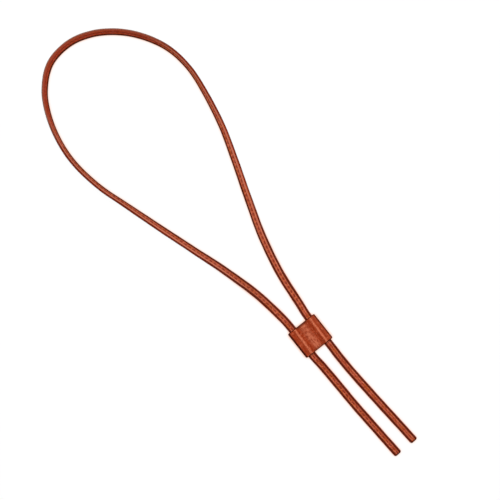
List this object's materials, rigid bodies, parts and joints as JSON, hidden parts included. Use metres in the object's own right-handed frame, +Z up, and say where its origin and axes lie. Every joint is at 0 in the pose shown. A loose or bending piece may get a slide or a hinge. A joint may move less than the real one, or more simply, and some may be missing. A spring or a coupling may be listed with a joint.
{
  "type": "leather drawstring purse strap with slider",
  "caption": "Long narrow leather drawstring strap laid in a teardrop loop, its legs running side by side through a sewn leather slider to square-cut ends.",
  "frame": {"origin": "middle of the underside of the box that holds the strap and slider, on the surface that they lie on", "axes": "+Y along the slider, from the strap's cut ends towards the loop; +X across the slider; +Z up, out of the surface that the strap lies on"},
  "size_m": [0.116, 0.3978, 0.0055],
  "materials": {
    "strap_leather": "smooth tan-brown leather with dark red painted edges and a tone-on-tone centre stitch",
    "slider_leather": "smooth red-brown leather, lighter along the two raised crests",
    "thread": "waxed dark red-brown sewing thread"
  },
  "bodies": {
    "root": {"drawstring_strap": "strap_leather", "slider_band": "slider_leather"}
  },
  "joints": []
}
